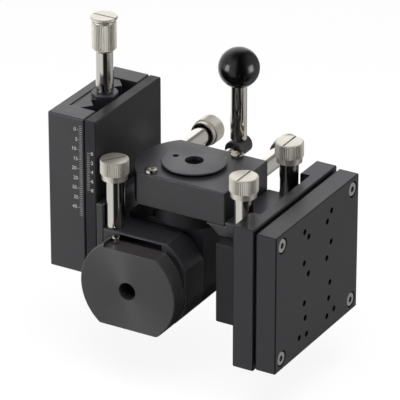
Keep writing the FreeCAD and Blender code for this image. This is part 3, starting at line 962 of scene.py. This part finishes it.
@dataclass
class KnurledGrip:
    """Straight-knurled band round a knob, modelled once for each size and copied."""

    # Ridges stand this far out of the band, whose ends sink this deep into the knob.
    ridge: float = 0.24 * MM
    sink: float = 0.4 * MM
    chamfer: float = 0.25 * MM
    end_near: float = 0.025 * MM
    # For each size: the ridges, the radius at the bottom of their grooves, and both ends.
    head_ridges: int = 48
    head_radius: float = 6.62 * MM
    head_low: float = 3.0 * MM
    head_high: float = 9.7 * MM
    knob_ridges: int = 40
    knob_radius: float = 5.57 * MM
    knob_low: float = 1.1 * MM
    knob_high: float = 14.2 * MM

    def band(self, ridges: int, radius: float, low: float, high: float) -> Object:
        """Model a knurled band that stands along Z on the origin.

        Args:
            ridges: Number of ridges.
            radius: Radius at the bottom of the grooves.
            low: Lower end of the ridges.
            high: Upper end of the ridges.

        Returns:
            The band, closed, with chamfered ends.
        """
        deselect_all()
        outer = radius + self.ridge
        bpy.ops.mesh.primitive_cylinder_add(vertices=ridges * 2, radius=outer, depth=high - low,
                                            end_fill_type="NOTHING",
                                            location=(0, 0, (low + high) / 2))
        band = settled()
        turn = math.pi / ridges
        groove = radius / outer
        swell(band, lambda place: round(math.atan2(place.y, place.x) / turn) % 2 == 1,
              (groove, groove, 1), Vector((0, 0, low)))
        inner = (radius - self.sink) / outer
        for end, way in ((low, -1), (high, 1)):
            pick(band, lambda place: abs(place.z - end) < self.end_near)
            bpy.ops.mesh.extrude_region_move()
            bpy.ops.transform.resize(value=(inner, inner, 1), center_override=(0, 0, end))
            bpy.ops.transform.translate(value=(0, 0, way * self.chamfer))
        bottom, top = low - self.chamfer / 2, high + self.chamfer / 2
        pick(band, lambda place: place.z < bottom or place.z > top)
        bpy.ops.mesh.bridge_edge_loops()
        bpy.ops.mesh.select_all(action="SELECT")
        bpy.ops.mesh.normals_make_consistent(inside=False)
        bpy.ops.object.mode_set(mode="OBJECT")
        return band

    def put(self, band: Object, node: str) -> None:
        """Put a copy of a band round a knob.

        Args:
            band: The band that is copied.
            node: The knob's CAD node.
        """
        piece = put_copy(band, node + "_knurl", seat_of(node))
        dress(piece, knurl_of(node))
        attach(piece, body_of(node))
        LOG.info("built %s", piece.name)

    def build(self) -> None:
        """Put a knurled band on every adjuster head and on the feed knob."""
        head = self.band(self.head_ridges, self.head_radius, self.head_low, self.head_high)
        for node in HEADS:
            self.put(head, node)
        knob = self.band(self.knob_ridges, self.knob_radius, self.knob_low, self.knob_high)
        self.put(knob, "feed_knob")
        for pattern in (head, knob):
            bpy.data.objects.remove(pattern)


@dataclass
class Studio:
    """Pale floor, soft lamps, white surroundings and the picture's camera."""

    # Floor: how far under the resting object, its side, and its strength to the camera's eye.
    floor_gap: float = 25.0 * MM
    floor_size: float = 4.0
    floor_colour: str = "f2f2f2"
    floor_shown: float = 0.9
    # Where metal mirrors the floor in the object's own shade: its reach, edge and brightness.
    shadow_x: tuple[float, float] = (-0.005, 0.13)
    shadow_y: tuple[float, float] = (-0.04, 0.06)
    shadow_edge: float = 0.025
    shadow_light: float = 0.02
    # Lamps: the place that they face, and how far they stand from it.
    middle: tuple[float, float, float] = (0.06, 0.0, 0.0)
    lamp_distance: float = 0.9
    # World: its light on the object, and its brightness where metal mirrors it. The sweep is
    # given as degrees round the object and a share of that brightness; it fades to the roof's
    # share between these two heights, each the sine of an angle above the floor.
    world_light: float = 0.07
    sweep_light: float = 1.35
    sweep: tuple[tuple[float, float], ...] = (
        (-180, 0.6), (-135, 0.55), (-88, 0.6), (-72, 0.01), (-30, 0.01), (-12, 0.2), (15, 0.3),
        (28, 0.42), (62, 0.36), (78, 0.15), (92, 0.2), (102, 1.0), (140, 1.0), (165, 0.7),
        (180, 0.6))
    roof_from: float = 0.7
    roof_full: float = 0.95
    roof_share: float = 0.1

    def build(self) -> None:
        """Build the whole studio."""
        self.floor()
        self.world()
        self.lamp("left_softbox", azimuth=-135.0, height=8.0, size=0.5, power=4.6)
        self.lamp("right_softbox", azimuth=11.0, height=5.0, size=0.45, power=3.7)
        self.lamp("top_softbox", azimuth=-60.0, height=76.0, size=0.9, power=15.0, mirrored=False)
        self.camera()
        bpy.context.scene.view_settings.view_transform = "Standard"

    def surroundings(self, tree: NodeTree, where: NodeSocket) -> NodeSocket:
        """Say how bright the studio is in each direction, as bright metal mirrors it.

        The white sweep is open towards the front, where the room is dark, and dimmer at the
        back right.

        Args:
            tree: The world's nodes.
            where: The direction.

        Returns:
            A brightness, sweep_light where the sweep is brightest.
        """
        turn = add_node(tree, "ShaderNodeTexGradient", {"gradient_type": "RADIAL"},
                        {"Vector": where})
        ramp = add_node(tree, "ShaderNodeValToRGB", {}, {"Fac": turn.outputs["Fac"]})
        marks = ramp.color_ramp.elements
        while len(marks) < len(self.sweep):
            marks.new(0.5)
        for mark, (degrees, level) in zip(marks, self.sweep):
            mark.position = degrees / 360 + 0.5
            mark.color = (level, level, level, 1.0)
        height = add_node(tree, "ShaderNodeSeparateXYZ", {}, {"Vector": where}).outputs["Z"]
        roof = add_node(tree, "ShaderNodeMapRange",
                        {"From Min": self.roof_from, "From Max": self.roof_full,
                         "To Min": self.sweep_light,
                         "To Max": self.sweep_light * self.roof_share}, {"Value": height})
        level = add_node(tree, "ShaderNodeMath", {"operation": "MULTIPLY"},
                         {0: ramp.outputs["Color"], 1: roof.outputs["Result"]})
        return level.outputs[0]

    def shaded(self, tree: NodeTree) -> NodeSocket:
        """Find the part of the floor that the object keeps in its own shade.

        Args:
            tree: The floor's nodes.

        Returns:
            A factor, 1 under the object and 0 away from it.
        """
        where = add_node(tree, "ShaderNodeTexCoord").outputs["Object"]
        axes = add_node(tree, "ShaderNodeSeparateXYZ", {}, {"Vector": where})
        factor = None
        for axis, (low, high) in (("X", self.shadow_x), ("Y", self.shadow_y)):
            for start, end in ((low - self.shadow_edge, low), (high + self.shadow_edge, high)):
                side = add_node(tree, "ShaderNodeMapRange",
                                {"interpolation_type": "SMOOTHSTEP", "From Min": start,
                                 "From Max": end},
                                {"Value": axes.outputs[axis]}).outputs["Result"]
                if factor is None:
                    factor = side
                else:
                    factor = add_node(tree, "ShaderNodeMath", {"operation": "MULTIPLY"},
                                      {0: factor, 1: side}).outputs[0]
        return factor

    def floor(self) -> None:
        """Lay a pale floor under the lowest point that the stage reaches as it travels down.

        The camera sees it white, and metal mirrors it only in the object's own shade.
        """
        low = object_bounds()[0]
        deselect_all()
        bpy.ops.mesh.primitive_plane_add(size=self.floor_size,
                                         location=(0, 0, low.z - self.floor_gap))
        floor = settled()
        floor.name = "studio_floor"
        material, tree, out = new_material("studio_floor_white")
        path = add_node(tree, "ShaderNodeLightPath")
        amount = add_node(tree, "ShaderNodeMath", {"operation": "MULTIPLY", 1: self.floor_shown},
                          {0: path.outputs["Is Camera Ray"]})
        matt = add_node(tree, "ShaderNodeBsdfDiffuse", {"Color": linear(self.floor_colour)})
        glow = add_node(tree, "ShaderNodeEmission", {"Color": linear("ffffff"), "Strength": 1.0})
        seen = add_node(tree, "ShaderNodeMixShader", {},
                        {0: amount.outputs[0], 1: matt.outputs[0], 2: glow.outputs[0]})
        clear = add_node(tree, "ShaderNodeBsdfTransparent")
        dark = add_node(tree, "ShaderNodeEmission",
                        {"Color": linear("ffffff"), "Strength": self.shadow_light})
        mirrored = add_node(tree, "ShaderNodeMixShader", {},
                            {0: self.shaded(tree), 1: clear.outputs[0], 2: dark.outputs[0]})
        whole = add_node(tree, "ShaderNodeMixShader", {},
                         {0: path.outputs["Is Glossy Ray"], 1: seen.outputs[0],
                          2: mirrored.outputs[0]})
        tree.links.new(whole.outputs[0], out.inputs["Surface"])
        floor.data.materials.append(material)
        floor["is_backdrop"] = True

    def world(self) -> None:
        """Surround the object with soft light, white to the camera and a lit sweep to metal."""
        world = bpy.data.worlds.new("studio_white")
        bpy.context.scene.world = world
        world.use_nodes = True
        tree = world.node_tree
        tree.nodes.clear()
        out = add_node(tree, "ShaderNodeOutputWorld")
        path = add_node(tree, "ShaderNodeLightPath")
        direction = add_node(tree, "ShaderNodeTexCoord").outputs["Generated"]
        mirrored = add_node(tree, "ShaderNodeMix",
                            {"data_type": "FLOAT", LEVEL_A: self.world_light},
                            {"Factor": path.outputs["Is Glossy Ray"],
                             LEVEL_B: self.surroundings(tree, direction)})
        seen = add_node(tree, "ShaderNodeMath", {"operation": "MAXIMUM"},
                        {0: path.outputs["Is Camera Ray"],
                         1: path.outputs["Is Transmission Ray"]})
        level = add_node(tree, "ShaderNodeMix", {"data_type": "FLOAT", LEVEL_B: 1.0},
                         {"Factor": seen.outputs[0], LEVEL_A: mirrored.outputs[0]})
        sky = add_node(tree, "ShaderNodeBackground", {"Color": linear("ffffff")},
                       {"Strength": level.outputs[0]})
        tree.links.new(sky.outputs[0], out.inputs["Surface"])

    def lamp(self, name: str, azimuth: float, height: float, size: float, power: float,
             mirrored: bool = True) -> None:
        """Add a square soft lamp that faces the object.

        Args:
            name: The lamp's name.
            azimuth: Its direction from the object, in degrees from X.
            height: Its angle above the object, in degrees.
            size: Length of its side, in metres.
            power: Its power in watts.
            mirrored: Whether bright metal mirrors it.
        """
        data = bpy.data.lights.new(name, "AREA")
        data.energy = power
        data.size = size
        lamp = bpy.data.objects.new(name, data)
        bpy.context.scene.collection.objects.link(lamp)
        turn, rise = math.radians(azimuth), math.radians(height)
        away = Vector((math.cos(turn) * math.cos(rise), math.sin(turn) * math.cos(rise),
                       math.sin(rise)))
        lamp.location = Vector(self.middle) + away * self.lamp_distance
        lamp.rotation_mode = "QUATERNION"
        lamp.rotation_quaternion = (-away).to_track_quat("-Z", "Y")
        lamp.visible_camera = False
        lamp.visible_glossy = mirrored

    def camera(self) -> None:
        """Stand the camera where the picture was taken from."""
        turn, tilt = math.radians(VIEW_AZIMUTH), math.radians(VIEW_ELEVATION)
        right = Vector((math.cos(turn), math.sin(turn), 0))
        back = Vector((math.sin(turn) * math.cos(tilt), -math.cos(turn) * math.cos(tilt),
                       math.sin(tilt)))
        up = back.cross(right)
        data = bpy.data.cameras.new("picture_camera")
        data.sensor_width = SENSOR_MM
        data.lens = SENSOR_MM * PIXELS_PER_MM * VIEW_DISTANCE / IMAGE_PIXELS
        data.clip_start, data.clip_end = CLIP_RANGE
        camera = bpy.data.objects.new("picture_camera", data)
        bpy.context.scene.collection.objects.link(camera)
        camera.location = (back * VIEW_DISTANCE + right * VIEW_RIGHT + up * VIEW_UP) * MM
        camera.rotation_mode = "QUATERNION"
        camera.rotation_quaternion = (-back).to_track_quat("-Z", "Y")
        bpy.context.scene.camera = camera


def main() -> None:
    """Build the dressed stage and its studio."""
    logging.basicConfig(level=logging.INFO)
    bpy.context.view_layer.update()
    Castings().build()
    Refits().build()
    AdjusterHead().build()
    TravelScale().build()
    KnurledGrip().build()
    Studio().build()


if __name__ == "__main__":
    main()
